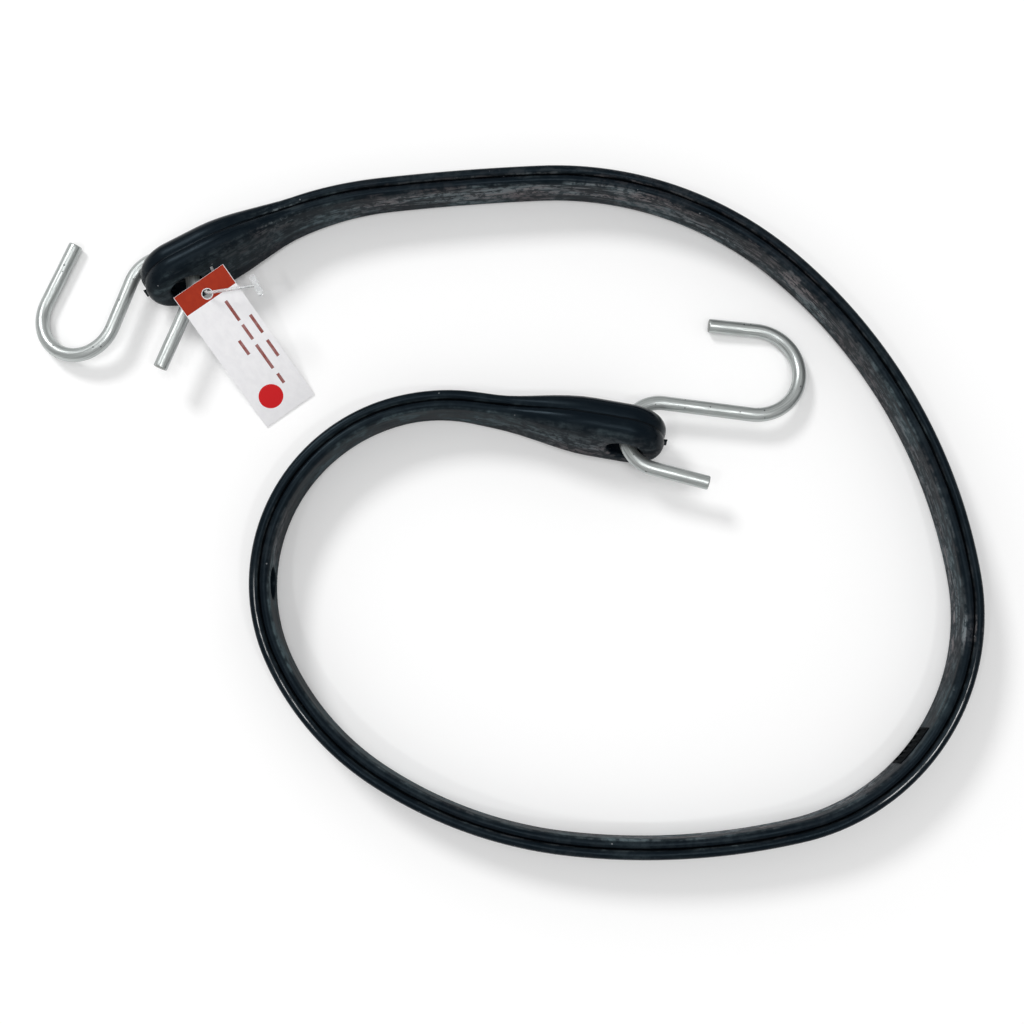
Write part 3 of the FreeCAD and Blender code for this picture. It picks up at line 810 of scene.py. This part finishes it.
spot = times(tree, math_node(tree, "LESS_THAN", from_spot.outputs["Value"], SPOT[2]), print_side)
spotted = mix_color(tree, spot, barred, SPOT_RED)
from_hole = add_node(tree, "ShaderNodeVectorMath", "LENGTH", i0=straight).outputs["Value"]
band = times(tree, math_node(tree, "LESS_THAN", place.outputs["X"], BAND_LENGTH - TAG_SETBACK),
             math_node(tree, "COMPARE", place.outputs["Y"], 0.0, TAG_WIDTH / 2 - BARE_EDGE),
             math_node(tree, "GREATER_THAN", from_hole, PUNCH_RADIUS + BARE_RIM), print_side)
rust = mix_color(tree, ramp(tree, fibre, 0.3, 0.75), BAND_DARK, BAND_LIGHT)
tree.links.new(mix_color(tree, band, spotted, rust), shader.inputs["Base Color"])
shader.inputs["Specular IOR Level"].default_value = 0.2
tree.links.new(ramp(tree, fibre, 0.3, 0.7, 0.42, 0.55), shader.inputs["Roughness"])
bump = add_node(tree, "ShaderNodeBump", Height=times(tree, fibre, 0.02), Strength=0.4, Distance=MM)
tree.links.new(bump.outputs[0], shader.inputs["Normal"])
tag.data.materials.append(card)
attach(tag, "tag")
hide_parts("hang_tag")

# Tag fastener: one moulding of clear nylon, its bar hidden behind the eye, its filament through the
# eye and the tag, and its flat paddle loose above the tag.

NYLON_SHADE = (0.80, 0.82, 0.83, 1)
NYLON_PALE = (0.93, 0.94, 0.95, 1)

nylon, tree, shader = new_material("clear_nylon")
shader.inputs["Transmission Weight"].default_value = 0.6
shader.inputs["IOR"].default_value = 1.45
coordinates = add_node(tree, "ShaderNodeTexCoord")
milk = use_group(tree, streaks, coordinates.outputs["Object"], Length=3.0, Width=1.2, Shift=2.0)
milky = mix_color(tree, ramp(tree, milk, 0.3, 0.7), NYLON_SHADE, NYLON_PALE)
tree.links.new(milky, shader.inputs["Base Color"])
tree.links.new(ramp(tree, milk, 0.3, 0.7, 0.12, 0.3), shader.inputs["Roughness"])
fastener = frame["nodes"]["tag_fastener"]
fastener.data.materials.clear()
fastener.data.materials.append(nylon)

# Camera above the strap, a little towards its lower side and square to the floor's edges. Its lens
# gives the picture the same frame as the photograph, which is 1024 pixels wide.

EYE_POINT = Vector((10.780, -64.838, 525.0)) * MM
LOOK_AT = Vector((4.585, -0.263, 0)) * MM
SENSOR_WIDTH = 36
FOCAL_PIXELS = 1688.8
PICTURE_PIXELS = 1024
ahead = (LOOK_AT - EYE_POINT).normalized()
rightward = ahead.cross(Vector((0, 1, 0))).normalized()
upward = rightward.cross(ahead)
camera_data = bpy.data.cameras.new("camera")
camera_data.sensor_width = SENSOR_WIDTH
camera_data.lens = SENSOR_WIDTH * FOCAL_PIXELS / PICTURE_PIXELS
camera_data.clip_start = 10 * MM
camera = bpy.data.objects.new("camera", camera_data)
camera.matrix_world = Matrix.Translation(EYE_POINT) @ turn_to(rightward, upward, -ahead)
bpy.context.scene.collection.objects.link(camera)
bpy.context.scene.camera = camera

# White floor that keeps the strap's shadow, under a soft lamp at the upper left, one overhead and two
# small ones at the lower side. Away from the strap it looks white to the camera without lighting it.

FLOOR_SIZE = 24
FLOOR_DROP = 0.2 * MM
FLOOR_WHITE = (0.94, 0.94, 0.94, 1)
WHITE_LIGHT = (1, 1, 1, 1)
NEAR_GLOW = 0.07
FAR_GLOW = 0.6
GLOW_REACH = (0.25, 2.0)
SKY_LIGHT = 0.5

deselect_all()
bpy.ops.mesh.primitive_plane_add(size=FLOOR_SIZE, location=(0, 0, -FLOOR_DROP))
floor = bpy.context.object
floor.name = "floor"
white, tree, shader = new_material("white_floor")
shader.inputs["Base Color"].default_value = FLOOR_WHITE
shader.inputs["Roughness"].default_value = 0.9
shader.inputs["Emission Color"].default_value = WHITE_LIGHT
ray = add_node(tree, "ShaderNodeLightPath")
mirrored = math_node(tree, "MAXIMUM", ray.outputs["Is Glossy Ray"], ray.outputs["Is Transmission Ray"])
seen = math_node(tree, "MAXIMUM", ray.outputs["Is Camera Ray"], mirrored)
coordinates = add_node(tree, "ShaderNodeTexCoord")
from_strap = add_node(tree, "ShaderNodeVectorMath", "LENGTH", i0=coordinates.outputs["Object"])
glow = ramp(tree, from_strap.outputs["Value"], *GLOW_REACH, NEAR_GLOW, FAR_GLOW)
tree.links.new(times(tree, seen, glow), shader.inputs["Emission Strength"])
floor.data.materials.append(white)


def add_lamp(name, place, size, power):
    """Round lamp aimed at the strap; its place and size are in metres and its power in watts."""
    data = bpy.data.lights.new(name, "AREA")
    data.shape = "DISK"
    data.size = size
    data.energy = power
    lamp = bpy.data.objects.new(name, data)
    lamp.location = place
    lamp.rotation_euler = (-Vector(place)).to_track_quat("-Z", "Y").to_euler()
    bpy.context.scene.collection.objects.link(lamp)


add_lamp("key_lamp", (-1.0, 1.2, 1.7), 0.6, 19)
add_lamp("top_lamp", (0.1, -0.1, 2.0), 0.7, 7)
add_lamp("right_lamp", (0.5, -0.45, 1.7), 0.10, 2.2)
add_lamp("left_lamp", (-0.5, -0.45, 1.7), 0.10, 1.8)
world = bpy.data.worlds.new("studio")
world.use_nodes = True
background = world.node_tree.nodes["Background"]
background.inputs["Color"].default_value = WHITE_LIGHT
background.inputs["Strength"].default_value = SKY_LIGHT
bpy.context.scene.world = world
bpy.context.scene.view_settings.view_transform = "Standard"
